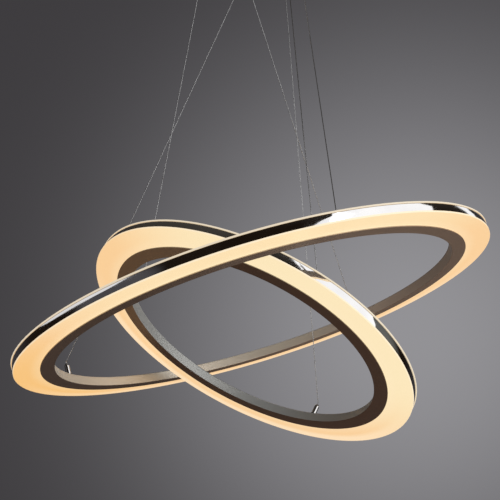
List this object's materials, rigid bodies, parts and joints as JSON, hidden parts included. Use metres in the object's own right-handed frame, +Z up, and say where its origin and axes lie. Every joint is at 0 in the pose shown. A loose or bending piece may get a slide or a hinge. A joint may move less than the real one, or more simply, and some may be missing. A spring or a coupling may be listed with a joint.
{
  "type": "pendant chandelier",
  "caption": "Two nested tilted LED rings with glowing opal faces and a chrome rim, hung by thin steel wires from a round ceiling canopy",
  "frame": {"origin": "centre of the ceiling plate's face against the ceiling", "axes": "+Z up into the ceiling, +X to the right and +Y away from someone who looks at the light as in the picture"},
  "size_m": [0.6749, 0.6999, 0.8466],
  "materials": {
    "satin_aluminium": "extruded aluminium, satin anodised",
    "opal_acrylic": "opal acrylic, lit warm white from inside",
    "chrome_plate": "polished and chrome plated",
    "steel_rope": "stranded stainless steel rope",
    "spring_steel": "bright spring wire",
    "zinc_plated_steel": "bright zinc plate",
    "brass": "turned brass",
    "strip_board": "white flexible circuit strip",
    "led_phosphor": "yellow phosphor in a small white cup",
    "bush_plastic": "moulded black nylon",
    "driver_plastic": "moulded white plastic case",
    "terminal_plastic": "moulded natural nylon",
    "grommet_rubber": "soft black rubber"
  },
  "bodies": {
    "canopy": {"ceiling_plate": "zinc_plated_steel", "canopy_cover": "chrome_plate", "cover_screws": "chrome_plate", "large_ring_driver": "driver_plastic", "small_ring_driver": "driver_plastic", "driver_screws": "zinc_plated_steel", "terminal_block": "terminal_plastic", "inlet_grommet": "grommet_rubber", "earth_screw": "brass", "gripper_bodies": "chrome_plate", "gripper_bushes": "bush_plastic", "gripper_nuts": "zinc_plated_steel", "gripper_plugs": "brass", "large_spring_left": "spring_steel", "large_spring_near": "spring_steel", "large_spring_far": "spring_steel", "small_spring_left": "spring_steel", "small_spring_near": "spring_steel", "small_spring_far": "spring_steel", "large_wire_near": "steel_rope", "large_wire_far": "steel_rope", "small_wire_left": "steel_rope", "small_wire_near": "steel_rope"},
    "large_ring": {"large_housing": "satin_aluminium", "large_lower_diffuser": "opal_acrylic", "large_upper_diffuser": "opal_acrylic", "large_rim_band": "chrome_plate", "large_led_strip": "strip_board", "large_led_chips": "led_phosphor", "large_wire_barrels": "chrome_plate", "large_wire_studs": "brass", "large_wire_stops": "zinc_plated_steel", "large_upper_bushes": "bush_plastic", "large_lower_bushes": "bush_plastic", "large_solder_tags": "brass", "large_foot_nuts": "zinc_plated_steel"},
    "small_ring": {"small_housing": "satin_aluminium", "small_lower_diffuser": "opal_acrylic", "small_upper_diffuser": "opal_acrylic", "small_rim_band": "chrome_plate", "small_led_strip": "strip_board", "small_led_chips": "led_phosphor", "small_wire_barrels": "chrome_plate", "small_wire_studs": "brass", "small_wire_stops": "zinc_plated_steel", "small_upper_bushes": "bush_plastic", "small_lower_bushes": "bush_plastic", "small_solder_tags": "brass", "small_foot_nuts": "zinc_plated_steel"},
    "large_adjusting_wire": {"large_wire_left": "steel_rope"},
    "small_adjusting_wire": {"small_wire_far": "steel_rope"},
    "plunger_large_left": {"large_plunger_left": "chrome_plate"},
    "plunger_large_near": {"large_plunger_near": "chrome_plate"},
    "plunger_large_far": {"large_plunger_far": "chrome_plate"},
    "plunger_small_left": {"small_plunger_left": "chrome_plate"},
    "plunger_small_near": {"small_plunger_near": "chrome_plate"},
    "plunger_small_far": {"small_plunger_far": "chrome_plate"}
  },
  "joints": [
    {"name": "large_ring_tilt", "type": "hinge", "parent": "canopy", "child": "large_ring", "pos_m": [0.12511, -0.03363, -0.61828], "axis": [0.1364, 0.9875, 0.0787], "range_deg": [0, 16], "deforming": ["large_wire_left", "large_wire_near", "large_wire_far"]},
    {"name": "small_ring_tilt", "type": "hinge", "parent": "canopy", "child": "small_ring", "pos_m": [-0.05262, -0.05823, -0.65763], "axis": [0.7202, -0.6698, -0.1807], "range_deg": [0, 16], "deforming": ["small_wire_left", "small_wire_near", "small_wire_far"]},
    {"name": "large_wire_swing", "type": "hinge", "parent": "canopy", "child": "large_adjusting_wire", "pos_m": [-0.03178, 0.06237, -0.073], "axis": [-0.0936, 0.9946, 0.0442], "range_deg": [0, 5.8]},
    {"name": "small_wire_swing", "type": "hinge", "parent": "canopy", "child": "small_adjusting_wire", "pos_m": [0.04956, 0.07632, -0.073], "axis": [0.4891, -0.8694, -0.0702], "range_deg": [0, 3.32]},
    {"name": "large_plunger_left_press", "type": "slide", "parent": "canopy", "child": "plunger_large_left", "axis": [0, 0, 1], "range_m": [0, 0.002], "stiffness_N_per_m": 800, "springref_m": -0.001, "deforming": ["large_spring_left"]},
    {"name": "large_plunger_near_press", "type": "slide", "parent": "canopy", "child": "plunger_large_near", "axis": [0, 0, 1], "range_m": [0, 0.002], "stiffness_N_per_m": 800, "springref_m": -0.001, "deforming": ["large_spring_near"]},
    {"name": "large_plunger_far_press", "type": "slide", "parent": "canopy", "child": "plunger_large_far", "axis": [0, 0, 1], "range_m": [0, 0.002], "stiffness_N_per_m": 800, "springref_m": -0.001, "deforming": ["large_spring_far"]},
    {"name": "small_plunger_left_press", "type": "slide", "parent": "canopy", "child": "plunger_small_left", "axis": [0, 0, 1], "range_m": [0, 0.002], "stiffness_N_per_m": 800, "springref_m": -0.001, "deforming": ["small_spring_left"]},
    {"name": "small_plunger_near_press", "type": "slide", "parent": "canopy", "child": "plunger_small_near", "axis": [0, 0, 1], "range_m": [0, 0.002], "stiffness_N_per_m": 800, "springref_m": -0.001, "deforming": ["small_spring_near"]},
    {"name": "small_plunger_far_press", "type": "slide", "parent": "canopy", "child": "plunger_small_far", "axis": [0, 0, 1], "range_m": [0, 0.002], "stiffness_N_per_m": 800, "springref_m": -0.001, "deforming": ["small_spring_far"]}
  ],
  "couplings": [
    {"joint": "large_wire_swing", "follows": "large_ring_tilt", "ratio": 0.36246},
    {"joint": "small_wire_swing", "follows": "small_ring_tilt", "ratio": 0.207}
  ]
}
